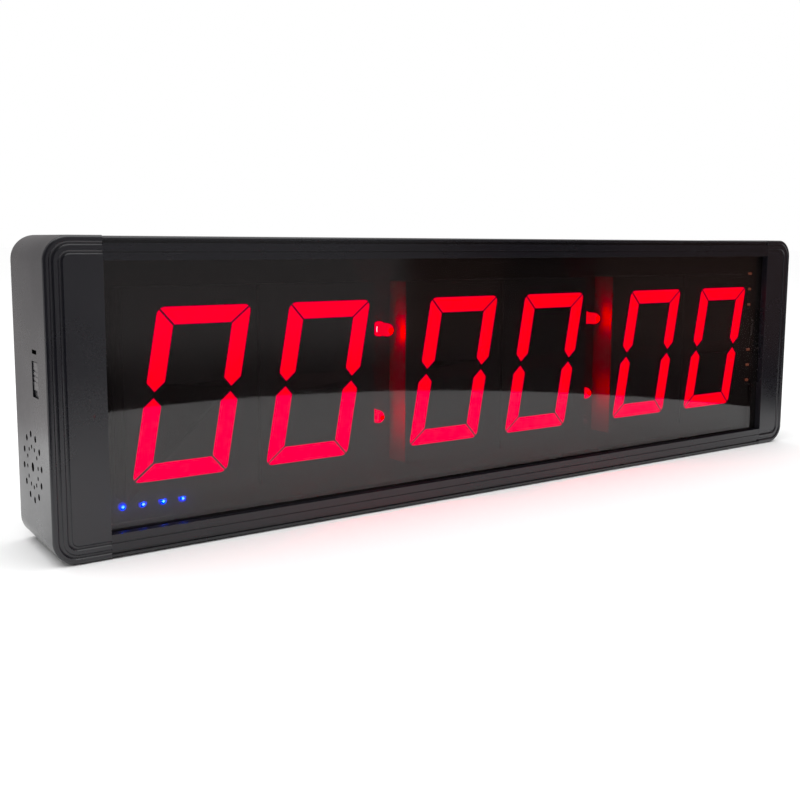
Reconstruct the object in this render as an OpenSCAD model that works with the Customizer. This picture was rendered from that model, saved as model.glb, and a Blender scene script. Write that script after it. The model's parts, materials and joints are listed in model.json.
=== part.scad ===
// Gym round timer: a six-digit red LED clock in a long black case.
// The case is two moulded end caps joined by two extruded rails. Between them sit a smoked
// front lens, the main board with its digit modules, and a rear panel.
// Millimetres, +Z up, the display faces -Y. The origin is the middle of the footprint at the base.

/* [Case] */
// Overall length along X
case_w = 364; // [360:1:380]
// Overall height
case_h = 101.5; // [100:0.5:110]
// Overall depth, front face to rear face
case_d = 40; // [40:0.5:46]
// Radius of the case corners seen from the front
corner_r = 8; // [7:0.5:9]
// Rounding along the front and rear edges
edge_r = 1.1; // [0.5:0.1:1.5]
// Thickness of the outer walls
wall = 2.4; // [2:0.1:2.6]
// Length of each end cap along X
cap_w = 18; // [17:0.5:20]
// How far the rails sit below the surface of the caps
rail_inset = 0.2; // [0.1:0.05:0.3]
// Height of the frame above and below the window
lip_h = 7.7; // [7.2:0.1:7.9]

/* [Lens] */
// Depth of the lens face behind the front of the case
lens_recess = 3; // [2.6:0.1:3.2]
// Thickness of the lens
lens_t = 2; // [1.8:0.1:2.2]
// How far the lens runs in behind each end cap
lens_tuck = 4; // [2:0.5:5]

/* [Digits] */
// Height of the lit figure
digit_h = 57; // [54:0.5:58]
// Width of the lit figure, measured along its base
digit_w = 33.2; // [32:0.1:34]
// Lean of the figures from upright, in degrees
digit_slant = 10; // [6:1:10]
// Width of the level strokes
bar_h = 5.9; // [5:0.1:7]
// Width of the upright strokes
bar_v = 6.2; // [5:0.1:7]
// Gap between neighbouring strokes
bar_gap = 0.5; // [0.3:0.05:0.8]
// Gap between the points of the upright strokes at the waist
waist_gap = 1.8; // [1.2:0.1:2.4]
// Rounding of the outer corners of a figure
figure_r = 2.6; // [1.5:0.1:3.5]
// Width of one digit module
module_w = 47; // [46:0.1:47.9]
// Height of one digit module
module_h = 69.7; // [66:0.1:72]
// Thickness of one digit module
module_d = 11; // [10:0.5:11]
// Distance between the two modules of a pair
module_pitch = 48; // [48:0.1:48.4]
// Middle of each pair of digits along X, left to right
pair_x = [-109.4, -0.4, 110.3];
// Height of the middle of the display above the base
display_z = 50.15; // [49:0.05:52]

/* [Lamps] */
// Diameter of the colon lamps
lamp_d = 5; // [3:0.1:5]
// Length of the colon lamps from the board to the tip
lamp_l = 8.6; // [7:0.1:9]
// Half the height between the two lamps of a colon
colon_half = 16.5; // [12:0.5:20]
// Sideways shift of the upper colon lamps, to the right of the middle of the gap
colon_right = 1.8; // [0:0.1:2.5]
// Sideways shift of the lower colon lamps, to the left of the middle of the gap
colon_left = 2.3; // [0:0.1:2.5]
// Distance between the battery level lamps
level_pitch = 7; // [6:0.5:8]
// Distance between the small marker lamps at the right-hand end
marker_pitch = 7.9; // [7:0.1:8.5]

/* [Speaker] */
// Outer diameter of the speaker
speaker_d = 28; // [26:0.5:28]
// Height of the speaker's axis above the base
speaker_z = 27.9; // [26:0.1:30]
// Radius of the outer ring of sound holes
grille_r_out = 10.6; // [9:0.1:11]
// Radius of the inner ring of sound holes
grille_r_in = 6.5; // [5:0.1:7]

/* [Power switch] */
// Height of the switch slot
slot_h = 11.4; // [11:0.1:13]
// Width of the switch slot
slot_w = 6.8; // [6:0.1:7]
// Height of the slot's middle above the base
slot_z = 56.8; // [55:0.1:60]
// Travel of the slider
switch_travel = 2; // [2:0.1:3]
// Thickness of the wall left around the slot
slot_wall = 0.6; // [0.5:0.05:0.8]

/* [Hidden] */
$fn = 64;

half_w = case_w / 2;
front = -case_d / 2;
eps = 0.01;
slack = 0.2;              // assembly clearance between pieces that are slid together

// Depths are measured back from the front of the case.
lens_back = lens_recess + lens_t;
module_front = lens_back + 1;
board_front = module_front + module_d;
board_t = 1.6;
board_back = board_front + board_t;
panel_t = 1.8;
panel_front = case_d - panel_t;
rib_t = 1;
rib_h = 6.2;              // height of the rail ribs above the outer skin line
seat_t = 1.4;             // thickness of the ledge that the rear panel rests on
seat_h = 8.8;             // height of that ledge along the rails, where the case screws pass

// Decorative grooves in the frame face, measured in from the outer edge
cap_groove_u = [2.4, 5.15];
rail_groove_u = [1.9, 5.15];
rail_groove_w = [1.1, 0.7];
rail_groove_depth = [0.8, 0.35];
groove_r = 0.9;
groove_lift = 0.45;

// Tongues of the caps, which run under the rails, and the screws that tie the case together
tongue_l = 12;
tongue_x = half_w - cap_w - tongue_l / 2;
tongue_u = 9.2;
tongue_front = board_back + slack + rib_t + slack * 2;
tongue_back = panel_front - seat_t - slack;
screw_u = 6.2;
screw_r = 1.45;
screw_hole_r = 1.7;
screw_pilot_r = 1.5;
screw_l = 11;
screw_head_r = 2.8;
screw_head_h = 1.5;

// Keyholes in the rear panel for hanging the timer on two wall screws
keyhole_x = 120;
keyhole_z = 70;
keyhole_r = 4.5;
keyhole_slot_r = 2.3;
keyhole_rise = 9;

// Main board
board_left = -half_w + 13;
board_right = half_w - 5.5;
board_u = 3.4;
gap_x = [for (i = [0, 1]) (pair_x[i] + pair_x[i + 1]) / 2];
level_x = -half_w + 27.2;
level_z = 11.7;
marker_x = half_w - 8;
marker_lean = 0.6;
marker_z = [76.8, 37.7];
port_z = 57;
port_w = 8.94;
port_h = 3.26;
port_l = 10.3;
port_shell = 0.3;
port_clear = 0.35;
stroke_depth = 1.5;       // how far the strokes are sunk in the face of a module

// Sockets on the rear of the board for the speaker, the switch and the battery
socket_x = -half_w + 36;
socket_places = [[socket_x, 30], [socket_x, 57], [-28, 46]];
socket_w = 5;
socket_t = 4.2;
socket_h = 7.4;

// Speaker, behind the left end wall
speaker_y = 0.7;
speaker_t = 5.4;
speaker_in = wall;
speaker_ring_t = 1.2;
speaker_ring_h = 3;
grille_turn = -6;
grille_count = 12;
grille_d = [2.1, 1.4, 3];

// Power switch, behind the left end wall
slot_y = -6.4;
mark_rise = 8.7;
mark_size = [0.3, 5.2, 1.3];
plate_t = 1.4;
plate_l = slot_h + switch_travel + 1;
plate_w = slot_w + 1.6;
pocket_l = plate_l + switch_travel + 2 * slack;
pocket_w = plate_w + 2 * slack;
plate_out = slot_wall + slack / 2;            // depth of the plate's face below the wall face
pad_gap = 0.3;                                // clearance round the finger pad that fills the slot
pad_out = 0.3;                                // depth of the pad's face below the wall face
grip_w = 0.4;                                 // grooves across the pad's face, for the finger
grip_depth = 0.15;
grip_pitch = 1.6;
switch_face = wall + slack;                   // depth of the body's face below the wall face
body_l = 12;
body_w = 6;
body_t = 4.4;
ear_l = 26.5;
ear_t = 0.8;
ear_screw_z = 11.2;         // height of the switch screws above and below the slot's middle
boss_r = 1.9;
boss_h = 2.4;
stem = 2;
switch_screw_r = 0.8;

// Battery, behind the board
cell_r = 9.1;
cell_l = 65;
frame_wall = 2;
frame_d = 12;
battery_x = 30;
battery_z = display_z - 4;
frame_size = [cell_l + 2 * (frame_wall + slack), frame_d, 4 * cell_r + frame_wall * 2 + slack * 3];
cell_depth = board_back + slack + cell_r;
lug_r = 3;
lug_t = 3;
lug_hole_r = 1.3;
lug_screw_r = 1.2;
lug_head_r = 2.3;
lug_head_h = 1.4;
lug_x = frame_size[0] / 2 + 2.4;
lug_z = frame_size[2] / 2 - lug_r;

// Wires
wire_r = 0.65;
wire_sides = 8;
wire_gap = 1.8;

function lean(p) = [p[0] + p[1] * tan(digit_slant), p[1]];
function digit_x(n) = pair_x[floor(n / 2)] + (n % 2 - 0.5) * module_pitch;
function arc(c, r, a0, a1, steps = 6) =
    [for (i = [0 : steps]) c + r * [cos(a0 + (a1 - a0) * i / steps), sin(a0 + (a1 - a0) * i / steps)]];

// Box given by its limits in x, in depth behind the front of the case, and in z
module slab(x, depth, z) {
    translate([x[0], front + depth[0], z[0]])
        cube([x[1] - x[0], depth[1] - depth[0], z[1] - z[0]]);
}

// Round bar or hole along Y, from one depth to another
module rod_y(x, z, r, depth) {
    translate([x, front + depth[0], z])
        rotate([-90, 0, 0]) cylinder(r = r, h = depth[1] - depth[0]);
}

// Round bar or hole along X
module rod_x(x, y, z, r) {
    translate([x[0], y, z]) rotate([0, 90, 0]) cylinder(r = r, h = x[1] - x[0]);
}

// Puts a piece that is drawn at the base at the top as well, turned over
module at_top() {
    translate([0, 0, case_h]) mirror([0, 0, 1]) children();
}

module at_both() {
    children();
    at_top() children();
}

/* ---- Case shell ---- */

// Cuts one square corner of a profile to a round one
module round_off(x, side) {
    translate([x, 0]) difference() {
        translate([side > 0 ? -eps : -edge_r, -eps]) square([edge_r + eps, edge_r + eps]);
        translate([side * edge_r, edge_r]) circle(r = edge_r);
    }
}

// Section of the outer shell: X is the depth from the front, Y is the distance in from the edge.
// The front flange reaches in by face, and the ledge for the rear panel by seat.
module shell_profile(face, seat) {
    difference() {
        union() {
            square([case_d, wall]);
            square([lens_recess, face]);
            translate([panel_front - seat_t, 0]) square([seat_t, seat]);
        }
        round_off(0, 1);
        round_off(case_d, -1);
    }
}

module cap_profile() {
    difference() {
        shell_profile(corner_r, rib_h);
        for (u = cap_groove_u) translate([-groove_lift, u]) circle(r = groove_r);
    }
}

module rail_profile() {
    difference() {
        union() {
            shell_profile(lip_h - rail_inset, seat_h);
            for (d = [lens_back + slack, board_front - rib_t - slack, board_back + slack])
                translate([d, 0]) square([rib_t, rib_h]);
        }
        for (i = [0, 1])
            translate([-eps, rail_groove_u[i] - rail_inset - rail_groove_w[i] / 2])
                square([rail_groove_depth[i] + eps, rail_groove_w[i]]);
    }
}

// Shell of the left cap: two corners swept round, three straights, and the flat front plate
module cap_shell() {
    straight = cap_w - corner_r;
    at_both() {
        translate([-half_w + corner_r, front, 0])
            rotate([90, 0, 90]) linear_extrude(straight) cap_profile();
        translate([-half_w + corner_r, front, corner_r])
            rotate([-90, 0, 0]) rotate([0, 0, 90])
                rotate_extrude(angle = 90) translate([corner_r, 0]) rotate(90) cap_profile();
    }
    translate([-half_w, front, corner_r])
        mirror([1, 0, 0]) rotate([0, 0, 90])
            linear_extrude(case_h - 2 * corner_r) cap_profile();
    slab([-half_w + corner_r, -half_w + cap_w], [0, lens_recess], [corner_r, case_h - corner_r]);
    at_both() cap_tongue();
}

// Tongue that slides in under a rail and takes one of the case screws
module cap_tongue() {
    difference() {
        union() {
            slab([-half_w + cap_w - 6, -half_w + cap_w], [tongue_front, tongue_back],
                 [wall - eps, tongue_u]);
            slab([-half_w + cap_w - eps, -half_w + cap_w + tongue_l], [tongue_front, tongue_back],
                 [wall + rail_inset + slack, tongue_u]);
        }
        rod_y(-tongue_x, screw_u, screw_pilot_r, [tongue_back - screw_l + 1, tongue_back + 1]);
    }
}

module grille_holes() {
    for (i = [0 : grille_count - 1], k = [0, 1]) {
        a = grille_turn + i * 360 / grille_count;
        r = k == 0 ? grille_r_out : grille_r_in;
        rod_x([-half_w - 1, -half_w + wall + 1], speaker_y + r * cos(a), speaker_z + r * sin(a),
              grille_d[k] / 2);
    }
    rod_x([-half_w - 1, -half_w + wall + 1], speaker_y, speaker_z, grille_d[2] / 2);
}

module left_end_cap() {
    color("#1b1b1d") difference() {
        union() {
            cap_shell();
            // ring that centres the speaker
            difference() {
                rod_x([-half_w + wall - eps, -half_w + wall + speaker_ring_h], speaker_y, speaker_z,
                      speaker_d / 2 + slack + speaker_ring_t);
                rod_x([-half_w, -half_w + cap_w], speaker_y, speaker_z, speaker_d / 2 + slack);
            }
            // bosses for the switch screws
            for (s = [-1, 1])
                rod_x([-half_w + wall - eps, -half_w + wall + boss_h], slot_y,
                      slot_z + s * ear_screw_z, boss_r);
        }
        grille_holes();
        translate([-half_w - 1, slot_y - slot_w / 2, slot_z - slot_h / 2])
            cube([wall + 2, slot_w, slot_h]);
        translate([-half_w + slot_wall, slot_y - pocket_w / 2, slot_z - pocket_l / 2])
            cube([wall, pocket_w, pocket_l]);
        for (s = [-1, 1])
            rod_x([-half_w + wall, -half_w + wall + boss_h + 1], slot_y,
                  slot_z + s * ear_screw_z, switch_screw_r + 0.05);
        // plain sunk bar that marks the "on" end of the slot
        translate([-half_w - 1, slot_y - mark_size[1] / 2, slot_z + mark_rise - mark_size[2] / 2])
            cube([1 + mark_size[0], mark_size[1], mark_size[2]]);
    }
}

module port_outline(grow) {
    r = port_h / 2 + grow;
    d = (port_w - port_h) / 2;
    union() {
        for (s = [-1, 1]) translate([s * d, 0]) circle(r = r);
        square([2 * d, 2 * r], center = true);
    }
}

// The port's long side stands upright, so its outline is turned to lie along Z
module port_solid(x, grow) {
    translate([x[0], front + board_back + port_h / 2, port_z])
        rotate([90, 0, 90]) linear_extrude(x[1] - x[0]) rotate(90) port_outline(grow);
}

module right_end_cap() {
    color("#1b1b1d") difference() {
        mirror([1, 0, 0]) cap_shell();
        port_solid([half_w - cap_w, half_w + 1], port_clear);
    }
}

module rail() {
    difference() {
        translate([-half_w + cap_w, front, rail_inset])
            rotate([90, 0, 90]) linear_extrude(case_w - 2 * cap_w) rail_profile();
        for (s = [-1, 1])
            rod_y(s * tongue_x, screw_u, screw_hole_r, [tongue_back - 1, case_d]);
    }
}

module bottom_rail() {
    color("#202022") rail();
}

module top_rail() {
    color("#202022") at_top() rail();
}

// Rectangle with round corners
module round_rect(w, h, r) {
    square([w - 2 * r, h], center = true);
    square([w, h - 2 * r], center = true);
    for (x = [-1, 1], y = [-1, 1]) translate([x * (w / 2 - r), y * (h / 2 - r)]) circle(r = r);
}

module keyhole() {
    rod_y(0, 0, keyhole_r, [panel_front - 1, case_d + 1]);
    rod_y(0, keyhole_rise, keyhole_slot_r, [panel_front - 1, case_d + 1]);
    slab([-keyhole_slot_r, keyhole_slot_r], [panel_front - 1, case_d + 1], [0, keyhole_rise]);
}

module rear_panel() {
    edge = wall + rail_inset + slack;
    color("#161617") difference() {
        translate([0, front + case_d, case_h / 2])
            rotate([90, 0, 0]) linear_extrude(panel_t)
                round_rect(case_w - 2 * edge, case_h - 2 * edge, corner_r - edge);
        for (s = [-1, 1]) {
            translate([s * keyhole_x, 0, keyhole_z]) keyhole();
            at_both() {
                rod_y(s * tongue_x, screw_u, screw_hole_r, [panel_front - 1, case_d + 1]);
                translate([s * tongue_x, front + case_d - screw_head_h - 0.1, screw_u])
                    rotate([-90, 0, 0])
                        cylinder(r1 = screw_hole_r, r2 = screw_head_r + 0.2, h = screw_head_h + 0.11);
            }
        }
    }
}

module panel_screws() {
    color("#8d8f92") for (s = [-1, 1]) at_both() {
        rod_y(s * tongue_x, screw_u, screw_r, [case_d - screw_l, case_d - screw_head_h]);
        difference() {
            translate([s * tongue_x, front + case_d - screw_head_h, screw_u])
                rotate([-90, 0, 0]) cylinder(r1 = screw_r, r2 = screw_head_r, h = screw_head_h - 0.1);
            for (t = [0, 90]) translate([s * tongue_x, front + case_d, screw_u])
                rotate([0, t, 0]) cube([3, 1.6, 0.6], center = true);
        }
    }
}

module front_lens() {
    x = half_w - cap_w + lens_tuck;
    edge = wall + rail_inset + slack * 2;
    color("#3a1d20", 0.6)
        slab([-x, x], [lens_recess + slack / 4, lens_back], [edge, case_h - edge]);
}

/* ---- Display ---- */

module main_board() {
    color("#10241b") difference() {
        slab([board_left, board_right], [board_front, board_back], [board_u, case_h - board_u]);
        for (x = [-1, 1], z = [-1, 1])
            rod_y(battery_x + x * lug_x, battery_z + z * lug_z, lug_hole_r, [board_front - 1, board_back + 1]);
    }
}

// The seven strokes of a figure, upright, with its lower left corner at the origin
function stroke_points() = let (
        w = digit_w, h = digit_h, v = bar_v, b = bar_h, m = digit_h / 2,
        c = bar_gap * sqrt(2) / 2, p = waist_gap / 2,
        top = [[c, h], [w - c, h], [w - v - c, h - b], [v + c, h - b]],
        upper_left = [[0, h - c], [v, h - b - c], [v, m + p + v / 2], [v / 2, m + p], [0, m + p + v / 2]])
    concat([top, [for (q = top) [q[0], h - q[1]]]],
           [for (right = [0, 1], low = [0, 1])
               [for (q = upper_left) [right ? w - q[0] : q[0], low ? h - q[1] : q[1]]]]);

function middle_points() = let (x0 = bar_v / 2, x1 = digit_w - bar_v / 2, m = digit_h / 2, b = bar_h / 2)
    [[x0, m], [x0 + b, m + b], [x1 - b, m + b], [x1, m], [x1 - b, m - b], [x0 + b, m - b]];

// Outline of the whole figure, with round outer corners
function figure_points() = let (w = digit_w, h = digit_h, r = figure_r)
    concat(arc([w - r, h - r], r, 0, 90), arc([r, h - r], r, 90, 180),
           arc([r, r], r, 180, 270), arc([w - r, r], r, 270, 360));

module leaned(points) {
    polygon([for (q = points) lean(q)]);
}

module lit_strokes() {
    intersection() {
        leaned(figure_points());
        union() for (s = stroke_points()) leaned(s);
    }
}

// Places a flat outline on the face of module n, sunk by a depth
module on_face(n, depth) {
    x0 = digit_x(n) - (digit_w + digit_h * tan(digit_slant)) / 2;
    translate([x0, front + module_front + depth, display_z - digit_h / 2])
        rotate([90, 0, 0]) linear_extrude(depth) children();
}

module housing(n) {
    color("#0d0d0e") difference() {
        slab([digit_x(n) - module_w / 2, digit_x(n) + module_w / 2], [module_front, board_front],
             [display_z - module_h / 2, display_z + module_h / 2]);
        on_face(n, stroke_depth) lit_strokes();
        on_face(n, stroke_depth) leaned(middle_points());
    }
}

module segments(n) {
    color("#ff0530") on_face(n, stroke_depth) lit_strokes();
}

module unlit_middle_segments() {
    color("#2a1214") for (n = [0 : 5]) on_face(n, stroke_depth) leaned(middle_points());
}

// Round-topped lamp standing on the front of the board
module dome_lamp(x, z) {
    flange_r = lamp_d / 2 + 0.4;
    rod_y(x, z, flange_r, [board_front - 1, board_front]);
    rod_y(x, z, lamp_d / 2, [board_front - lamp_l + lamp_d / 2, board_front - 1 + eps]);
    translate([x, front + board_front - lamp_l + lamp_d / 2, z]) sphere(r = lamp_d / 2);
}

module colon_lamps(i) {
    color("#ff2038") {
        dome_lamp(gap_x[i] + colon_right, display_z + colon_half);
        dome_lamp(gap_x[i] - colon_left, display_z - colon_half);
    }
}

module left_colon_lamps() { colon_lamps(0); }
module right_colon_lamps() { colon_lamps(1); }

// Small surface-mounted lamp on the front of the board
module chip_lamp(x, z) {
    slab([x - 1, x + 1], [board_front - 0.3, board_front], [z - 0.6, z + 0.6]);
    slab([x - 0.7, x + 0.7], [board_front - 0.8, board_front - 0.3 + eps], [z - 0.6, z + 0.6]);
}

module battery_level_lamps() {
    color("#3a55ff") for (i = [0 : 3]) chip_lamp(level_x + i * level_pitch, level_z);
}

module marker_lamps() {
    color("#c8b39a") for (g = [0, 1], i = [-1 : 1])
        chip_lamp(marker_x + (g == 0 ? -marker_lean : marker_lean), marker_z[g] + i * marker_pitch);
}

/* ---- Electronics ---- */

module ir_receiver() {
    x = gap_x[1];
    z = display_z - module_h / 2 + 4;
    color("#121013") {
        slab([x - 2.9, x + 2.9], [board_front - 3, board_front], [z - 3.4, z + 3.4]);
        intersection() {
            translate([x, front + board_front - 3, z]) sphere(r = 2.2);
            slab([x - 3, x + 3], [board_front - 6, board_front - 3 + eps], [z - 3, z + 3]);
        }
    }
}

module control_chip() {
    color("#17171a") slab([-92, -74.1], [board_back, board_back + 2.4], [44, 51.5]);
}

module driver_chips() {
    color("#17171a") for (i = [0 : 2]) translate([-106 + i * 22, 0, 0])
        slab([0, 12.8], [board_back, board_back + 2.3], [66, 73.5]);
}

module wire_sockets() {
    color("#d9d6c8") for (p = socket_places)
        slab([p[0] - socket_w / 2, p[0] + socket_w / 2], [board_back, board_back + socket_t],
             [p[1] - socket_h / 2, p[1] + socket_h / 2]);
}

module charge_port() {
    inner = [half_w - 2.2 - port_l + 1, half_w];
    color("#b9bcc0") difference() {
        port_solid([half_w - 1.2 - port_l, half_w - 1.2], 0);
        port_solid(inner, -port_shell);
    }
    color("#151517") port_tongue();
}

// Contact blade inside the port, joined to its back wall
module port_tongue() {
    x = [half_w - 1.2 - port_l + 0.5, half_w - 3];
    d = board_back + port_h / 2;
    slab(x, [d - 0.35, d + 0.35], [port_z - 3.3, port_z + 3.3]);
}

/* ---- Speaker ---- */

module on_speaker_axis() {
    translate([-half_w + speaker_in, speaker_y, speaker_z]) rotate([0, 90, 0]) children();
}

module speaker_frame() {
    r = speaker_d / 2;
    color("#3c3d40") on_speaker_axis() rotate_extrude()
        polygon([[r - 2, 0.1], [r, 0.1], [r, 2], [r - 2.5, 4], [8.6, 4], [8.6, 3.2],
                 [r - 3.2, 3.2], [r - 2, 2]]);
}

module speaker_cone() {
    r = speaker_d / 2 - 2.1;
    color("#26262a") on_speaker_axis() rotate_extrude()
        polygon([[0, 1.1], [2, 1.3], [4, 2.2], [r - 2, 0.5], [r, 0.9], [r, 1.1],
                 [r - 2, 0.8], [4.2, 2.6], [2, 1.6], [0, 1.4]]);
}

module speaker_magnet() {
    color("#8a8c90") on_speaker_axis() {
        translate([0, 0, 3]) cylinder(r = 8.5, h = speaker_t - 3);
        translate([0, 0, 2.7]) cylinder(r = 3, h = 0.4);
    }
}

/* ---- Power switch ---- */

// Box given by its depth inside the left wall face and its size about the slot's middle
module switch_box(depth, w, l, dz = 0) {
    translate([-half_w + depth[0], slot_y - w / 2, slot_z + dz - l / 2])
        cube([depth[1] - depth[0], w, l]);
}

module switch_slider() {
    up = switch_travel / 2;
    color("#1d1d1f") {
        switch_box([plate_out, plate_out + plate_t], plate_w, plate_l, up);
        difference() {
            switch_box([pad_out, plate_out + eps], slot_w - 2 * pad_gap,
                       slot_h - switch_travel - 2 * pad_gap, up);
            for (k = [-1 : 1])
                switch_box([0, pad_out + grip_depth], slot_w, grip_w, up + k * grip_pitch);
        }
        switch_box([plate_out + plate_t - eps, switch_face + 2], stem, stem, up);
    }
}

module switch_body() {
    well = stem + switch_travel + 2 * slack;
    color("#9a9da1") difference() {
        union() {
            switch_box([wall + boss_h + 0.05, wall + boss_h + 0.05 + ear_t], body_w, ear_l);
            switch_box([switch_face + 0.6, switch_face + body_t], body_w, body_l);
        }
        switch_box([0, switch_face + 3], stem + 2 * slack, well);
        for (s = [-1, 1])
            rod_x([-half_w, -half_w + cap_w], slot_y, slot_z + s * ear_screw_z,
                  switch_screw_r + 0.15);
    }
}

module switch_screws() {
    seat = -half_w + wall + boss_h + 0.05 + ear_t;
    color("#a9abae") for (s = [-1, 1]) {
        z = slot_z + s * ear_screw_z;
        rod_x([seat - 3, seat + eps], slot_y, z, switch_screw_r);
        rod_x([seat, seat + 1], slot_y, z, 1.6);
    }
}

/* ---- Battery ---- */

module battery_cells() {
    color("#2f6fb0") for (s = [-1, 1])
        rod_x([battery_x - cell_l / 2, battery_x + cell_l / 2], front + cell_depth,
              battery_z + s * (cell_r + slack / 2), cell_r - 0.05);
}

module battery_frame() {
    size = frame_size;
    d = [board_back, board_back + frame_d];
    color("#1a1a1c") difference() {
        union() {
            slab([battery_x - size[0] / 2, battery_x + size[0] / 2], d,
                 [battery_z - size[2] / 2, battery_z + size[2] / 2]);
            for (x = [-1, 1], z = [-1, 1]) translate([battery_x, 0, battery_z]) {
                rod_y(x * lug_x, z * lug_z, lug_r, [board_back, board_back + lug_t]);
                slab([x > 0 ? lug_x - lug_r : -lug_x, x > 0 ? lug_x : lug_r - lug_x],
                     [board_back, board_back + lug_t], [z * lug_z - lug_r, z * lug_z + lug_r]);
            }
        }
        slab([battery_x - size[0] / 2 + frame_wall, battery_x + size[0] / 2 - frame_wall],
             [board_back - 1, board_back + frame_d + 1],
             [battery_z - size[2] / 2 + frame_wall, battery_z + size[2] / 2 - frame_wall]);
        for (x = [-1, 1], z = [-1, 1])
            rod_y(battery_x + x * lug_x, battery_z + z * lug_z, lug_hole_r,
                  [board_back - 1, board_back + lug_t + 1]);
    }
}

module battery_frame_screws() {
    color("#a9abae") for (x = [-1, 1], z = [-1, 1]) translate([battery_x, 0, battery_z]) {
        rod_y(x * lug_x, z * lug_z, lug_screw_r, [board_front + slack, board_back + lug_t + eps]);
        rod_y(x * lug_x, z * lug_z, lug_head_r, [board_back + lug_t, board_back + lug_t + lug_head_h]);
    }
}

/* ---- Wires ---- */

function unit(v) = v / norm(v);
// Point at parameter t in [0, 1] on a cubic curve through four control points
function on_curve(c, t) =
    pow(1 - t, 3) * c[0] + 3 * t * pow(1 - t, 2) * c[1] + 3 * t * t * (1 - t) * c[2] + pow(t, 3) * c[3];
function route(c, steps) = [for (i = [0 : steps]) on_curve(c, i / steps)];
function along(p, i) = unit(p[min(i + 1, len(p) - 1)] - p[max(i - 1, 0)]);

// Tube of a given radius along a list of points; side is a direction the route never follows
module tube(p, r, side) {
    n = wire_sides;
    rings = [for (i = [0 : len(p) - 1]) let (
                 t = along(p, i), a = unit(cross(t, side)), b = cross(t, a))
             for (k = [0 : n - 1]) p[i] + r * (cos(k * 360 / n) * a + sin(k * 360 / n) * b)];
    walls = [for (i = [0 : len(p) - 2], k = [0 : n - 1])
                 [i * n + k, i * n + (k + 1) % n, (i + 1) * n + (k + 1) % n, (i + 1) * n + k]];
    last = (len(p) - 1) * n;
    polyhedron(rings, concat([[for (k = [0 : n - 1]) n - 1 - k]], walls,
                             [[for (k = [0 : n - 1]) last + k]]));
}

// A pair of wires side by side, from a piece near the left wall or the battery to a socket
module wire_pair(start, start_way, socket, end_way, apart) {
    goal = [socket[0] + socket_w / 2 * sign(end_way), front + board_back + socket_t / 2, socket[1]];
    for (s = [-0.5, 0.5]) {
        shift = s * wire_gap * [0, 0, 1];
        tube(route([start + s * apart, start + s * apart + start_way, goal + shift + [end_way, 0, 0],
                    goal + shift], 14), wire_r, [0, 0, 1]);
    }
}

module speaker_wires() {
    start = [-half_w + speaker_in + speaker_t + 0.05, speaker_y + 3, speaker_z + 4];
    color("#b3202a") wire_pair(start, [8, 0, 1], socket_places[0], -8, [0, 0, wire_gap]);
}

module switch_wires() {
    start = [-half_w + switch_face + body_t / 2, slot_y + body_w / 2 + 0.05, slot_z - 1];
    color("#c9a21f") wire_pair(start, [0, 8, 0], socket_places[1], -9, [0, 0, wire_gap]);
}

module battery_wires() {
    start = [battery_x - cell_l / 2 - frame_wall - slack - 0.3, front + cell_depth + 3, battery_z + 6];
    color("#b3202a") wire_pair(start, [-6, 0, 0], socket_places[2], 6, [0, 0, wire_gap]);
}

left_end_cap();
right_end_cap();
top_rail();
bottom_rail();
rear_panel();
front_lens();
main_board();
housing(0);  // digit_1_housing
housing(1);  // digit_2_housing
housing(2);  // digit_3_housing
housing(3);  // digit_4_housing
housing(4);  // digit_5_housing
housing(5);  // digit_6_housing
segments(0);  // digit_1_segments
segments(1);  // digit_2_segments
segments(2);  // digit_3_segments
segments(3);  // digit_4_segments
segments(4);  // digit_5_segments
segments(5);  // digit_6_segments
unlit_middle_segments();
left_colon_lamps();
right_colon_lamps();
battery_level_lamps();
marker_lamps();
ir_receiver();
control_chip();
driver_chips();
wire_sockets();
charge_port();
speaker_frame();
speaker_cone();
speaker_magnet();
speaker_wires();
switch_body();
switch_slider();
switch_screws();
switch_wires();
battery_cells();
battery_frame();
battery_frame_screws();
battery_wires();
panel_screws();
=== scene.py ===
import json
import math

import bmesh
import bpy
from mathutils import Matrix, Vector


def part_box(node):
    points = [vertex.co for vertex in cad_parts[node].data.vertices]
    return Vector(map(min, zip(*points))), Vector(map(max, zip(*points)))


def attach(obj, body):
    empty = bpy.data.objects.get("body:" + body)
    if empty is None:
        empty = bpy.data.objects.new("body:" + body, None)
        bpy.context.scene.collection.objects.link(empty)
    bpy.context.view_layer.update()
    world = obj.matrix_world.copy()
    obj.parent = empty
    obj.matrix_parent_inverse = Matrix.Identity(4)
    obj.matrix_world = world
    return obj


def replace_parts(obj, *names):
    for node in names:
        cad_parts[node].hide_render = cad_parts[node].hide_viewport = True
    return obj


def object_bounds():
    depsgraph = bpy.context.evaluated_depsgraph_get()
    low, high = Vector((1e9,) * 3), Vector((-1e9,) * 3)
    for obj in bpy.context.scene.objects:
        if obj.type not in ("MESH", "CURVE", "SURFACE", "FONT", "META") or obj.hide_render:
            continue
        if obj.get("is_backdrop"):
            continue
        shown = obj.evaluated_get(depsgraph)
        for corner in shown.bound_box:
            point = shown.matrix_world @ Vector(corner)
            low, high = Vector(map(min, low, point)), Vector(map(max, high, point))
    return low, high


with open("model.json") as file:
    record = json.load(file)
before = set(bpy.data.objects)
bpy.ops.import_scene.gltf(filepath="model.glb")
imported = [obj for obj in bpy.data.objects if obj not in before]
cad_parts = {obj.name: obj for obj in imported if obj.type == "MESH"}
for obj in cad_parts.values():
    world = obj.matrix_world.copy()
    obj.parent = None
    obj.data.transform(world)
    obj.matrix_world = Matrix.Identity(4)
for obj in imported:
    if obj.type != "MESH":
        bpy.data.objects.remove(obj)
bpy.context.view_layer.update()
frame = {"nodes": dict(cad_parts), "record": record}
nodes = frame["nodes"]
MM = 0.001
WELD_GAP = 1e-6
DIGITS = range(1, 7)


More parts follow.
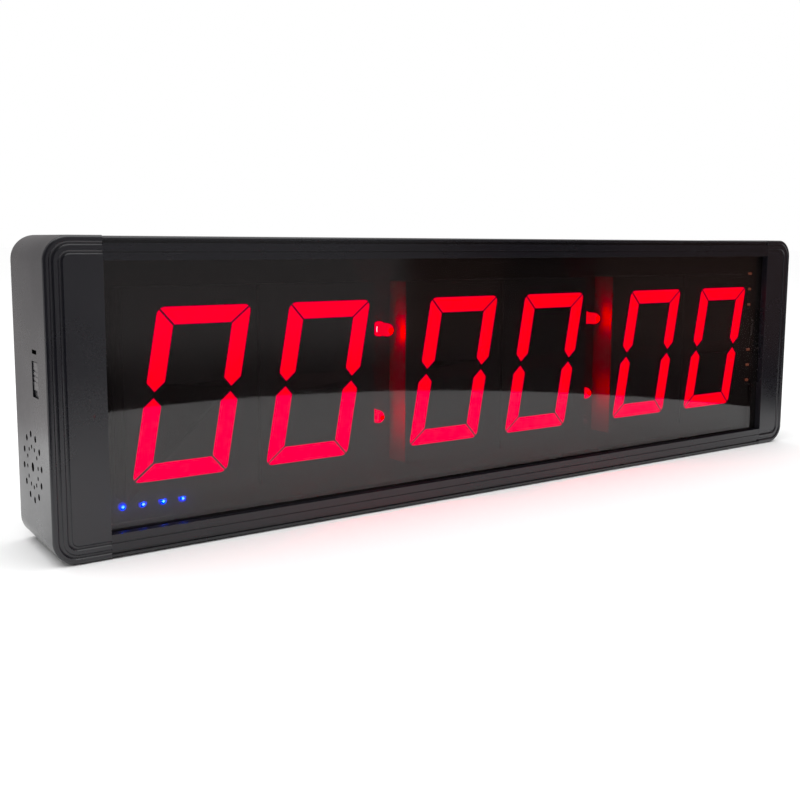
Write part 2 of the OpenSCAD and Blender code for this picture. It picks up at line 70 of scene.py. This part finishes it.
# ---------------------------------------------------------------- node helpers

def map_range(tree, low, high, start, end):
    """A node that maps start to low and end to high."""
    node = tree.nodes.new("ShaderNodeMapRange")
    for key, value in (("From Min", start), ("From Max", end), ("To Min", low), ("To Max", high)):
        node.inputs[key].default_value = value
    return node


def shade(color, times, plus=0.0):
    return tuple(c * times + plus for c in color)


class Shader:
    """One Principled material, with short calls for its procedural detail."""

    def __init__(self, name, color, rough, metallic=0.0, **plain):
        self.mat = bpy.data.materials.new(name)
        self.mat.use_nodes = True
        self.nt = self.mat.node_tree
        self.bsdf = self.nt.nodes["Principled BSDF"]
        self.coords = None
        self.bsdf.inputs["Base Color"].default_value = (*color, 1)
        self.bsdf.inputs["Roughness"].default_value = rough
        self.bsdf.inputs["Metallic"].default_value = metallic
        for key, value in plain.items():
            self.bsdf.inputs[key.replace("_", " ")].default_value = value

    def add(self, kind, **values):
        node = self.nt.nodes.new(kind)
        for key, value in values.items():
            setattr(node, key, value)
        return node

    def link(self, out, into):
        self.nt.links.new(out, into)

    def place(self, stretch=(1, 1, 1)):
        if self.coords is None:
            self.coords = self.add("ShaderNodeTexCoord")
        m = self.add("ShaderNodeMapping")
        m.inputs["Scale"].default_value = stretch
        self.link(self.coords.outputs["Object"], m.inputs["Vector"])
        return m.outputs["Vector"]

    def noise(self, scale, detail, stretch=(1, 1, 1)):
        n = self.add("ShaderNodeTexNoise")
        n.inputs["Scale"].default_value = scale
        n.inputs["Detail"].default_value = detail
        n.inputs["Roughness"].default_value = 0.55
        self.link(self.place(stretch), n.inputs["Vector"])
        return n.outputs["Fac"]

    def cells(self, scale, feature="F1"):
        n = self.add("ShaderNodeTexVoronoi", feature=feature)
        n.inputs["Scale"].default_value = scale
        self.link(self.place(), n.inputs["Vector"])
        return n.outputs["Distance"]

    def span(self, fac, low, high, start=0.0, end=1.0):
        m = map_range(self.nt, low, high, start, end)
        self.link(fac, m.inputs["Value"])
        return m.outputs["Result"]

    def math(self, how, a, b):
        m = self.add("ShaderNodeMath", operation=how)
        for socket, value in zip(m.inputs, (a, b)):
            if isinstance(value, (int, float)):
                socket.default_value = value
            else:
                self.link(value, socket)
        return m.outputs[0]

    def blend(self, fac, a, b):
        m = self.add("ShaderNodeMix", data_type="RGBA")
        self.link(fac, m.inputs["Factor"])
        for key, value in (("A_Color", a), ("B_Color", b)):
            socket = next(s for s in m.inputs if s.identifier == key)
            if isinstance(value, tuple):
                socket.default_value = (*value, 1)
            else:
                self.link(value, socket)
        return next(s for s in m.outputs if s.identifier == "Result_Color")

    def bump(self, height, depth, strength):
        b = self.add("ShaderNodeBump")
        b.inputs["Strength"].default_value = strength
        b.inputs["Distance"].default_value = depth
        self.link(height, b.inputs["Height"])
        self.link(b.outputs["Normal"], self.bsdf.inputs["Normal"])

    def tint(self, socket):
        self.link(socket, self.bsdf.inputs["Base Color"])

    def gloss(self, socket):
        self.link(socket, self.bsdf.inputs["Roughness"])

    def edges(self, radius):
        """1 on sharp edges and 0 on open faces."""
        bevel = self.add("ShaderNodeBevel", samples=4)
        bevel.inputs["Radius"].default_value = radius
        geo = self.add("ShaderNodeNewGeometry")
        dot = self.add("ShaderNodeVectorMath", operation="DOT_PRODUCT")
        self.link(bevel.outputs["Normal"], dot.inputs[0])
        self.link(geo.outputs["Normal"], dot.inputs[1])
        return self.span(self.math("SUBTRACT", 1.0, dot.outputs["Value"]), 0, 1, 0.02, 0.35)


def moulded(name, color, rough, grain=900, grain_depth=0.012, **plain):
    """Satin moulded plastic: fine texture, patchy gloss, edges lightened in patches (partly wear, partly a
    painted highlight) and a trace of dust.
    """
    s = Shader(name, color, rough, **plain)
    patches = s.noise(22, 4)
    fine = s.noise(grain, 2)
    pits = s.cells(grain * 1.7)
    # painted highlight: sharp edges lightened in patches, partly wear and partly light caught on the edges
    edge_wear_and_highlight = s.math("MULTIPLY", s.edges(0.5 * MM), s.span(s.noise(160, 3), 0.15, 0.5, 0.35, 0.7))
    body = s.blend(s.span(patches, 0, 0.45, 0.3, 0.75), color, shade(color, 1.35, 0.002))
    dust = s.span(s.cells(260, feature="SMOOTH_F1"), 0.05, 0, 0.02, 0.09)
    body = s.blend(dust, body, shade(color, 3, 0.02))
    s.tint(s.blend(edge_wear_and_highlight, body, shade(color, 2.6, 0.012)))
    s.gloss(s.math("ADD", s.span(patches, rough - 0.05, rough + 0.06, 0.3, 0.7), s.span(fine, -0.03, 0.03)))
    s.bump(s.math("ADD", fine, s.math("MULTIPLY", pits, 0.6)), grain_depth * MM, 0.6)
    return s.mat


def extruded(name, color, rough):
    """Extruded rail: faint draw lines along its length over a smooth satin skin."""
    s = Shader(name, color, rough)
    lines = s.noise(700, 3, stretch=(0.012, 1, 1))
    broad = s.noise(110, 2, stretch=(0.02, 1, 1))
    patches = s.noise(16, 4)
    # painted highlight: sharp edges lightened in patches, partly wear and partly light caught on the edges
    edge_wear_and_highlight = s.math("MULTIPLY", s.edges(0.4 * MM), s.span(s.noise(150, 3), 0.1, 0.55, 0.35, 0.7))
    body = s.blend(s.span(lines, 0, 0.5, 0.3, 0.7), color, shade(color, 1.3, 0.002))
    s.tint(s.blend(edge_wear_and_highlight, body, shade(color, 2.6, 0.012)))
    s.gloss(s.math("ADD", s.span(patches, rough - 0.04, rough + 0.05, 0.3, 0.7), s.span(lines, -0.03, 0.03)))
    s.bump(s.math("ADD", lines, s.math("MULTIPLY", broad, 0.7)), 0.010 * MM, 0.5)
    return s.mat


def metal(name, color, rough):
    """Bare or plated metal: fine scratches and a few duller stains."""
    s = Shader(name, color, rough, metallic=1.0)
    scratch = s.noise(900, 4)
    stain = s.noise(130, 3)
    s.tint(s.blend(s.span(stain, 0, 1, 0.35, 0.7), color, shade(color, 0.72)))
    s.gloss(s.math("ADD", s.span(stain, rough - 0.05, rough + 0.1, 0.3, 0.7), s.span(scratch, -0.06, 0.06)))
    s.bump(scratch, 0.008 * MM, 0.5)
    return s.mat


def lit(name, color, strength, body=(0.2, 0.004, 0.008), rough=0.35):
    """Lit resin: plain emission over a resin body with slight flow marks."""
    s = Shader(name, body, rough)
    s.bsdf.inputs["Emission Color"].default_value = (*color, 1)
    s.bsdf.inputs["Emission Strength"].default_value = strength
    flow = s.noise(500, 3)
    s.gloss(s.span(flow, rough - 0.08, rough + 0.08, 0.3, 0.7))
    s.bump(flow, 0.01 * MM, 0.4)
    return s.mat


def smoked():
    """Smoked acrylic: see-through by a plain alpha, with wiping marks and hairlines in the gloss."""
    s = Shader("smoked_lens", (0.008, 0.006, 0.006), 0.02, Alpha=0.5, IOR=1.72)
    wipes = s.noise(60, 4, stretch=(1, 1, 3))
    hair = s.noise(1600, 2, stretch=(1, 1, 0.03))
    s.gloss(s.math("ADD", s.span(wipes, 0.012, 0.05, 0.35, 0.75), s.span(hair, 0.0, 0.012)))
    s.bump(wipes, 0.01 * MM, 0.15)
    return s.mat


def board():
    """Black solder mask with faint copper runs and pads under it."""
    s = Shader("circuit_board", (0.008, 0.010, 0.009), 0.35)
    weave = s.cells(700)
    runs = s.add("ShaderNodeTexBrick", offset=0.37, squash=1.0)
    runs.inputs["Scale"].default_value = 120
    runs.inputs["Mortar Size"].default_value = 0.035
    runs.inputs["Color1"].default_value = (0, 0, 0, 1)
    runs.inputs["Color2"].default_value = (0.1, 0.1, 0.1, 1)
    runs.inputs["Mortar"].default_value = (1, 1, 1, 1)
    turn = s.add("ShaderNodeMapping")
    turn.inputs["Rotation"].default_value = (math.pi / 2, 0, 0)
    s.link(s.place(), turn.inputs["Vector"])
    s.link(turn.outputs["Vector"], runs.inputs["Vector"])
    s.tint(s.blend(s.span(runs.outputs["Fac"], 0, 0.8), (0.007, 0.009, 0.008), (0.016, 0.020, 0.016)))
    s.gloss(s.span(s.noise(60, 3), 0.28, 0.42, 0.3, 0.7))
    s.bump(s.math("ADD", runs.outputs["Fac"], s.math("MULTIPLY", weave, 0.3)), 0.012 * MM, 0.5)
    return s.mat


def paper():
    """Pressed paper of a speaker cone, with fibres."""
    s = Shader("cone_paper", (0.02, 0.02, 0.022), 0.85)
    fibre = s.noise(900, 5, stretch=(1, 1, 0.3))
    s.tint(s.blend(fibre, (0.014, 0.014, 0.015), (0.035, 0.034, 0.033)))
    s.bump(fibre, 0.05 * MM, 0.8)
    return s.mat


def jacket(name, color, rough=0.45, depth=0.02, **plain):
    """Thin soft skin: wire insulation, shrink wrap, nylon or epoxy."""
    s = Shader(name, color, rough, **plain)
    marks = s.noise(350, 4)
    s.tint(s.blend(s.span(marks, 0, 0.6, 0.3, 0.75), color, shade(color, 0.6)))
    s.gloss(s.span(marks, rough - 0.1, rough + 0.12, 0.3, 0.7))
    s.bump(marks, depth * MM, 0.5)
    return s.mat


# ---------------------------------------------------------------- materials

RED = (1.0, 0.0015, 0.062)
case_plastic = moulded("case_plastic", (0.0060, 0.0060, 0.0090), 0.29, IOR=1.57)
rail_plastic = extruded("rail_plastic", (0.0060, 0.0060, 0.0085), 0.26)
panel_plastic = moulded("panel_plastic", (0.018, 0.018, 0.019), 0.5, grain=600, grain_depth=0.03)
slider_plastic = moulded("slider_plastic", (0.05, 0.05, 0.052), 0.2, grain=1400)
frame_plastic = moulded("frame_plastic", (0.02, 0.02, 0.021), 0.5)
module_black = jacket("module_black", (0.009, 0.009, 0.0095), 0.5, 0.004)
unlit_segment = jacket("unlit_segment", (0.030, 0.009, 0.010), 0.4)
segment_core = lit("segment_core", RED, 4.0)
segment_rim = lit("segment_rim", (1.0, 0.004, 0.080), 3.6)
module_side = jacket("module_side", (0.07, 0.06, 0.06), 0.5)
# painted shade: near-black matte plastic on the sound-hole walls, so they read as dark holes; the sunk bar
# above the slot is made dark with it too
shadow_plastic = jacket("shadow_plastic", (0.002, 0.002, 0.002), 0.85, Specular_IOR_Level=0.15)
# painted glow: the unlit lamp is given a faint orange emission, though it is not lit
unlit_lamp = jacket("unlit_lamp", (0.62, 0.36, 0.20), 0.35,
                    Emission_Color=(1.0, 0.28, 0.18, 1), Emission_Strength=0.45)
red_lamp = lit("red_lamp", (1.0, 0.002, 0.064), 3.5, body=(0.02, 0.002, 0.002), rough=0.15)
# painted highlight: the glowing bead that stands for the glint on each colon lamp
painted_lamp_glint = lit("painted_lamp_glint", (1.0, 0.30, 0.32), 9.0, body=(0.8, 0.4, 0.4), rough=0.1)
blue_lamp = lit("blue_lamp", (0.055, 0.05, 1.0), 1.1, body=(0.2, 0.3, 0.7), rough=0.2)
# painted highlight: the glowing bead that stands for the glint on each level lamp
painted_blue_glint = lit("painted_blue_glint", (0.28, 0.34, 1.0), 6.0, body=(0.7, 0.8, 1.0), rough=0.2)

SLOTS = {
    "case_plastic": case_plastic,
    "panel_plastic": panel_plastic,
    "smoked_lens": smoked(),
    "circuit_board": board(),
    "module_black": module_black,
    "lit_red": segment_core,
    "unlit_segment": unlit_segment,
    "red_lamp": red_lamp,
    "blue_lamp": blue_lamp,
    "unlit_lamp": unlit_lamp,
    "chip_epoxy": jacket("chip_epoxy", (0.012, 0.012, 0.013), 0.55),
    "socket_nylon": jacket("socket_nylon", (0.66, 0.63, 0.54), 0.5),
    "plated_steel": metal("plated_steel", (0.62, 0.62, 0.63), 0.28),
    "speaker_steel": metal("speaker_steel", (0.20, 0.20, 0.21), 0.4),
    "cone_paper": paper(),
    "magnet_steel": metal("magnet_steel", (0.45, 0.45, 0.47), 0.35),
    "wire_red": jacket("wire_red", (0.42, 0.012, 0.02)),
    "wire_yellow": jacket("wire_yellow", (0.60, 0.36, 0.02)),
    "slider_plastic": slider_plastic,
    "screw_steel": metal("screw_steel", (0.50, 0.50, 0.51), 0.32),
    "cell_wrap": jacket("cell_wrap", (0.03, 0.15, 0.42), 0.3),
    "frame_plastic": frame_plastic,
}
for row in frame["record"]["subparts"]:
    data = nodes[row["node"]].data
    data.materials.clear()
    data.materials.append(SLOTS[row["material_slot"]])
for name in ("top_rail", "bottom_rail"):
    nodes[name].data.materials[0] = rail_plastic


# ---------------------------------------------------------------- edges of the CAD nodes

def soften(name, width):
    """Rounds a CAD node's hard edges by a modifier, so that they catch the light."""
    o = nodes[name]
    if "custom_normal" in o.data.attributes:
        o.data.attributes.remove(o.data.attributes["custom_normal"])
    o.data.shade_smooth()
    weld = o.modifiers.new("weld", "WELD")
    weld.merge_threshold = WELD_GAP
    flat = o.modifiers.new("flat", "DECIMATE")
    flat.decimate_type = "DISSOLVE"
    flat.angle_limit = math.radians(0.4)
    bevel = o.modifiers.new("edge", "BEVEL")
    bevel.width = width * MM
    bevel.segments = 2
    bevel.limit_method = "ANGLE"
    bevel.angle_limit = math.radians(35)
    bevel.use_clamp_overlap = True
    bevel.miter_outer = "MITER_ARC"
    o.modifiers.new("shade", "WEIGHTED_NORMAL").weight = 90


for name, width in (("left_end_cap", 0.15), ("right_end_cap", 0.15), ("top_rail", 0.15),
                    ("bottom_rail", 0.15), ("rear_panel", 0.25), ("front_lens", 0.12),
                    ("main_board", 0.1), ("switch_slider", 0.12), ("charge_port", 0.05),
                    ("control_chip", 0.15), ("driver_chips", 0.15), ("wire_sockets", 0.2),
                    ("battery_frame", 0.2), ("speaker_frame", 0.1), ("battery_level_lamps", 0.06),
                    ("marker_lamps", 0.06), ("switch_body", 0.08), ("panel_screws", 0.06)):
    soften(name, width)
for i in DIGITS:
    soften(f"digit_{i}_housing", 0.2)


def second_material(name, mat, chosen):
    """Gives the faces that a test picks by centre and normal a second material."""
    data = nodes[name].data
    data.materials.append(mat)
    for p in data.polygons:
        if chosen(p.center, p.normal):
            p.material_index = 1


WALL = 2.4 * MM          # the sound holes' walls lie within this of the left wall's outside
GRILLE_R = 12.5 * MM     # a little past the outer ring of sound holes
MARK_UP = 7.7 * MM       # the plain dark bar, above the middle of the slider
MARK_SKIN = 0.1 * MM     # the bar's floor lies deeper in the wall than this
MARK_DEPTH = 0.5 * MM    # and no deeper than this
MARK_Y = 2.8 * MM        # half of the bar's length, with a margin
MARK_Z = 0.8 * MM        # half of its height, with a margin


def middle(box):
    low, high = box
    return (low + high) / 2


cap_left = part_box("left_end_cap")[0].x
grille = middle(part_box("speaker_cone"))
mark = middle(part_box("switch_slider")) + Vector((0, 0, MARK_UP))


def in_sound_hole(centre, normal):
    """True for the walls of the sound holes, which run across the left wall."""
    near = (centre - grille).yz.length < GRILLE_R
    return near and abs(normal.x) < 0.3 and centre.x - cap_left < WALL


def on_mark(centre, normal):
    """True for the floor and the sides of the sunk bar above the slot."""
    inward = centre.x - cap_left
    off = centre - mark
    sunk = inward > MARK_SKIN or abs(normal.x) < 0.5
    return sunk and inward < MARK_DEPTH and abs(off.y) < MARK_Y and abs(off.z) < MARK_Z


# the sound-hole walls get painted shade; the sunk bar above the slot is made dark too
second_material("left_end_cap", shadow_plastic,
                lambda centre, normal: in_sound_hole(centre, normal) or on_mark(centre, normal))
for i in DIGITS:
    second_material(f"digit_{i}_housing", module_side, lambda centre, normal: abs(normal.x) > 0.9)


# ---------------------------------------------------------------- lit figures

def node_mesh(name):
    """The CAD node's mesh, welded, as a bmesh."""
    bm = bmesh.new()
    bm.from_mesh(nodes[name].data)
    bmesh.ops.remove_doubles(bm, verts=bm.verts, dist=WELD_GAP)
    bm.normal_update()
    return bm


def mesh_object(name, bm, mats):
    """Turns a bmesh into an object in the scene."""
    data = bpy.data.meshes.new(name)
    bm.to_mesh(data)
    bm.free()
    for m in mats:
        data.materials.append(m)
    o = bpy.data.objects.new(name, data)
    bpy.context.scene.collection.objects.link(o)
    return o


def make(name, bm, mats, body):
    """Turns a bmesh into a piece of the timer."""
    o = mesh_object(name, bm, mats)
    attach(o, body)
    return o


def outlines(bm):
    """Closed outlines, in x and z, of a node's separate faces that look towards -Y, and their y."""
    front = {f for f in bm.faces if f.normal.y < -0.9}
    ahead = {}
    for f in front:
        for loop in f.loops:
            if not any(g in front for g in loop.edge.link_faces if g is not f):
                ahead[loop.vert] = loop.link_loop_next.vert
    out = []
    while ahead:
        v, ring = next(iter(ahead)), []
        while v in ahead:
            ring.append(v)
            v = ahead.pop(v)
        points = [Vector((v.co.x, v.co.z)) for v in ring]
        keep = []
        for k, q in enumerate(points):
            before, after = q - points[k - 1], points[(k + 1) % len(points)] - q
            if abs(before.normalized().cross(after.normalized())) > 0.01:
                keep.append(q)
        out.append((keep, ring[0].co.y))
    return out


def inset(points, by):
    """The outline moved inward by a distance; points run anticlockwise seen along +Y."""
    out = []
    for k, q in enumerate(points):
        a, b = (q - points[k - 1]).normalized(), (points[(k + 1) % len(points)] - q).normalized()
        na, nb = Vector((-a.y, a.x)), Vector((-b.y, b.x))
        out.append(q + (na + nb) * (by / max(0.2, 1 + na.dot(nb))))
    return out


EDGE = 0.10 * MM     # chamfer round each lit face
RIM = 0.40 * MM      # from the outline to the inside of the face's outer band, which is a little dimmer
CROWN = 0.02 * MM    # the face stands this far above its edge


def figure(i):
    """Lit strokes of one digit: a soft rim round each face, and the face itself a little crowned."""
    bm_cad = node_mesh(f"digit_{i}_segments")
    back = max(v.co.y for v in bm_cad.verts)
    bm = bmesh.new()
    for points, y in outlines(bm_cad):
        area = sum(p.x * q.y - q.x * p.y for p, q in zip(points, points[1:] + points[:1]))
        if area < 0:
            points.reverse()
        rings = []
        for by, at in ((0, back), (0, y + EDGE), (EDGE, y), (RIM, y - CROWN)):
            rings.append([bm.verts.new((p.x, at, p.y)) for p in inset(points, by)])
        for outer, inner in zip(rings, rings[1:]):
            for j in range(len(points)):
                n = (j + 1) % len(points)
                f = bm.faces.new((outer[j], outer[n], inner[n], inner[j]))
                f.material_index = int(inner is rings[-1])
        bm.faces.new(rings[-1])
        bm.faces.new(list(reversed(rings[0])))
    bm_cad.free()
    bmesh.ops.recalc_face_normals(bm, faces=bm.faces)
    o = make(f"digit_{i}_figure", bm, [segment_core, segment_rim], "case")
    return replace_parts(o, f"digit_{i}_segments")


for i in DIGITS:
    figure(i)


# ---------------------------------------------------------------- lamps

def beads(name, centres, size, mat, around=20):
    """Smooth ellipsoids, one on each centre; size is half their width, depth and height."""
    bm = bmesh.new()
    for c in centres:
        bmesh.ops.create_uvsphere(bm, u_segments=around, v_segments=10, radius=1,
                                  matrix=Matrix.Translation(c) @ Matrix.Diagonal((*size, 1)))
    for f in bm.faces:
        f.smooth = True
    make(name, bm, [mat], "case")


def islands(name):
    """Box of each separate solid of a CAD node, left to right."""
    bm = node_mesh(name)
    left, out = set(bm.verts), []
    while left:
        seed = left.pop()
        group, queue = {seed}, [seed]
        while queue:
            for e in queue.pop().link_edges:
                for v in e.verts:
                    if v in left:
                        left.discard(v)
                        group.add(v)
                        queue.append(v)
        low = Vector(min(v.co[k] for v in group) for k in range(3))
        high = Vector(max(v.co[k] for v in group) for k in range(3))
        out.append((low, high))
    bm.free()
    return sorted(out, key=lambda b: (round(b[0].x, 4), b[0].z))


FLANGE = 0.4 * MM    # a colon lamp's flange reaches this far past its dome

painted_glints, tips = [], []
for side in ("left", "right"):
    name = f"{side}_colon_lamps"
    nodes[name].data.shade_smooth()
    for low, high in islands(name):
        mid = (low + high) / 2
        dome_left = low.x + FLANGE
        painted_glints.append(Vector((dome_left + 0.12 * MM, high.y - 2.7 * MM, mid.z + 0.1 * MM)))
        tips.append(Vector((mid.x, low.y + 1.5 * MM, mid.z)))

# a painted highlight: an upright glowing glint bedded in the left side of each colon lamp
beads("colon_lamp_painted_glints", painted_glints, (0.3 * MM, 0.42 * MM, 1.15 * MM), painted_lamp_glint, around=16)

# a low resin cap on each level lamp, with a small glowing bead on its front as a painted highlight
levels = [((low + high) / 2, low.y) for low, high in islands("battery_level_lamps")]
beads("battery_level_caps", [Vector((m.x, y + 0.75 * MM, m.z)) for m, y in levels],
      (1.55 * MM, 0.95 * MM, 1.55 * MM), blue_lamp)
beads("battery_level_painted_glints", [Vector((m.x, y - 0.1 * MM, m.z)) for m, y in levels],
      (0.55 * MM, 0.2 * MM, 0.55 * MM), painted_blue_glint)


# ---------------------------------------------------------------- stage

FLOOR_SIZE = 24
FLOOR_GAP = 0.0003       # the floor lies this far under the timer


def floor(mat):
    bm = bmesh.new()
    bmesh.ops.create_grid(bm, x_segments=1, y_segments=1, size=0.5)
    o = mesh_object("floor", bm, [mat])
    o.scale = (FLOOR_SIZE, FLOOR_SIZE, 1)
    o.location = (0, 0, -FLOOR_GAP)
    o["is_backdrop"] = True


floor_mat = Shader("floor_paper", (0.94, 0.94, 0.94), 0.75, Specular_IOR_Level=0.2)
floor_mat.tint(floor_mat.blend(floor_mat.noise(3, 2), (0.93, 0.93, 0.93), (0.96, 0.96, 0.96)))
floor(floor_mat.mat)


SURROUND_HUB = Vector((-0.015, 0.0, 0))
SURROUND_R = 0.286
SURROUND_H = 0.40
SURROUND_STEPS = 96
SURROUND_FADE = 0.1      # the heights run from the floor up to here


def ramp(s, fac, stops):
    """Colour ramp through (place, brightness) stops; the dim stops are warmer."""
    r = s.add("ShaderNodeValToRGB")
    r.color_ramp.interpolation = "EASE"
    s.link(fac, r.inputs["Fac"])
    while len(r.color_ramp.elements) < len(stops):
        r.color_ramp.elements.new(0.5)
    for e, (at, v) in zip(r.color_ramp.elements, stops):
        e.position = at
        tint = (1, 0.96, 0.96) if v > 0.2 else (1, 0.6, 0.5)
        e.color = (*shade(tint, v), 1)
    return r.outputs["Color"]


def surround(name, first, last, tones, heights):
    """Upright curved card round the timer, seen only in reflections: a dim room beyond the floor paper.

    first and last are its ends in degrees; tones are brightnesses along it, heights are those up it.
    """
    bm = bmesh.new()
    rows = []
    for k in range(SURROUND_STEPS + 1):
        a = math.radians(first + (last - first) * k / SURROUND_STEPS)
        p = SURROUND_HUB + Vector((SURROUND_R * math.cos(a), SURROUND_R * math.sin(a), 0))
        rows.append((bm.verts.new(p), bm.verts.new(p + Vector((0, 0, SURROUND_H)))))
    for (a, b), (c, d) in zip(rows, rows[1:]):
        bm.faces.new((a, b, d, c))
    s = Shader(name, (0, 0, 0), 1.0)
    sep = s.add("ShaderNodeSeparateXYZ")
    s.link(s.place(), sep.inputs["Vector"])
    turn = s.math("ARCTAN2", sep.outputs["Y"], s.math("SUBTRACT", sep.outputs["X"], SURROUND_HUB.x))
    glow = s.add("ShaderNodeEmission")
    s.link(ramp(s, s.span(turn, 0, 1, -math.pi, math.pi), tones), glow.inputs["Color"])
    s.link(ramp(s, s.span(sep.outputs["Z"], 0, 1, 0, SURROUND_FADE), heights), glow.inputs["Strength"])
    out = next(n for n in s.nt.nodes if n.type == "OUTPUT_MATERIAL")
    s.link(glow.outputs["Emission"], out.inputs["Surface"])
    o = mesh_object(name, bm, [s.mat])
    for flag in ("visible_camera", "visible_diffuse", "visible_shadow", "visible_transmission"):
        setattr(o, flag, False)
    o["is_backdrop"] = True


surround("front_surround", -175, -5,
         ((0.0, 0.01), (0.135, 0.01), (0.19, 0.34), (0.3175, 0.33), (0.33, 0.105), (0.3575, 0.08),
          (0.365, 0.01), (0.3925, 0.01), (0.40, 0.12), (0.5, 0.13)),
         ((0.0, 0.12), (0.12, 0.12), (0.5, 1.0)))
surround("side_surround", 108, 172, ((0.0, 1.0), (1.0, 1.0)),
         ((0.0, 0.80), (0.3, 0.64), (0.7, 0.52), (1.0, 0.46)))


# ---------------------------------------------------------------- lights, world, camera

def lamp(kind, name, at, energy, color=(1, 1, 1), aim=None, **more):
    """A light; the point lights are hidden, so that only what they light is seen."""
    data = bpy.data.lights.new(name, kind)
    data.energy = energy
    data.color = color
    for key, value in more.items():
        setattr(data, key, value)
    o = bpy.data.objects.new(name, data)
    o.location = at
    if aim is not None:
        o.rotation_euler = (Vector(aim) - Vector(at)).to_track_quat("-Z", "Y").to_euler()
    if kind == "POINT":
        o.visible_camera = o.visible_glossy = False
    bpy.context.scene.collection.objects.link(o)


lamp("AREA", "overhead_softbox", (-0.22, -0.32, 1.1), 6.0, aim=(-0.1, -0.12, 0), shape="RECTANGLE",
     size=1.5, size_y=1.0)
for tip in tips:
    lamp("POINT", "colon_glow", (tip.x + 0.4 * MM, tip.y - 1.8 * MM, tip.z), 0.068, color=(1.0, 0.012, 0.045),
         shadow_soft_size=0.3 * MM)
for m, y in levels:
    lamp("POINT", "level_glow", (m.x, y - 1.0 * MM, m.z), 0.0016, color=(0.06, 0.12, 1.0),
         shadow_soft_size=0.4 * MM)

world = bpy.data.worlds.new("studio")
bpy.context.scene.world = world
world.use_nodes = True
wt = world.node_tree
dim = wt.nodes["Background"]
bright = wt.nodes.new("ShaderNodeBackground")
pick = wt.nodes.new("ShaderNodeMixShader")
path = wt.nodes.new("ShaderNodeLightPath")
coords = wt.nodes.new("ShaderNodeTexCoord")
split = wt.nodes.new("ShaderNodeSeparateXYZ")
total = wt.nodes.new("ShaderNodeMath")
lift = map_range(wt, 0.15, 0.27, -1.0, 0.9)          # a little brighter behind the timer
ceiling = map_range(wt, 0.0, 1.18, 0.25, 0.75)       # bright overhead
dim.inputs["Color"].default_value = (1, 1, 1, 1)
bright.inputs["Color"].default_value = (1, 1, 1, 1)
bright.inputs["Strength"].default_value = 1.0
wt.links.new(coords.outputs["Generated"], split.inputs["Vector"])
wt.links.new(split.outputs["Y"], lift.inputs["Value"])
wt.links.new(split.outputs["Z"], ceiling.inputs["Value"])
wt.links.new(lift.outputs["Result"], total.inputs[0])
wt.links.new(ceiling.outputs["Result"], total.inputs[1])
wt.links.new(total.outputs[0], dim.inputs["Strength"])
wt.links.new(path.outputs["Is Camera Ray"], pick.inputs["Fac"])
wt.links.new(dim.outputs["Background"], pick.inputs[1])
wt.links.new(bright.outputs["Background"], pick.inputs[2])
wt.links.new(pick.outputs["Shader"], wt.nodes["World Output"].inputs["Surface"])

cam_data = bpy.data.cameras.new("camera")
cam_data.lens = 44.5
cam_data.sensor_width = 36
cam_data.shift_x = -0.0078
cam_data.shift_y = -0.0484
cam_data.clip_start = 0.01
cam = bpy.data.objects.new("camera", cam_data)
bpy.context.scene.collection.objects.link(cam)
heading, pitch, roll = -34.65, -6.92, 0.33
cam.matrix_world = (Matrix.Translation((-0.2599, -0.3212, 0.1001))
                    @ Matrix.Rotation(math.radians(heading), 4, "Z")
                    @ Matrix.Rotation(math.radians(90 + pitch), 4, "X")
                    @ Matrix.Rotation(math.radians(roll), 4, "Z"))
bpy.context.scene.camera = cam
bpy.context.scene.view_settings.view_transform = "Standard"

# lens bloom round the lamps, and the slight colour clipping of a camera
scene = bpy.context.scene
scene.use_nodes = True
ct = scene.node_tree
ct.nodes.clear()
layers, bloom, vivid, out = (ct.nodes.new(k) for k in (
    "CompositorNodeRLayers", "CompositorNodeGlare", "CompositorNodeHueSat", "CompositorNodeComposite"))
bloom.glare_type = "BLOOM"
bloom.inputs["Threshold"].default_value = 2.2
bloom.inputs["Size"].default_value = 0.04
bloom.inputs["Strength"].default_value = 0.5
vivid.inputs["Saturation"].default_value = 1.06
ct.links.new(layers.outputs["Image"], bloom.inputs["Image"])
ct.links.new(bloom.outputs["Image"], vivid.inputs["Image"])
ct.links.new(vivid.outputs["Image"], out.inputs["Image"])

bpy.context.view_layer.update()
low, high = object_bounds()
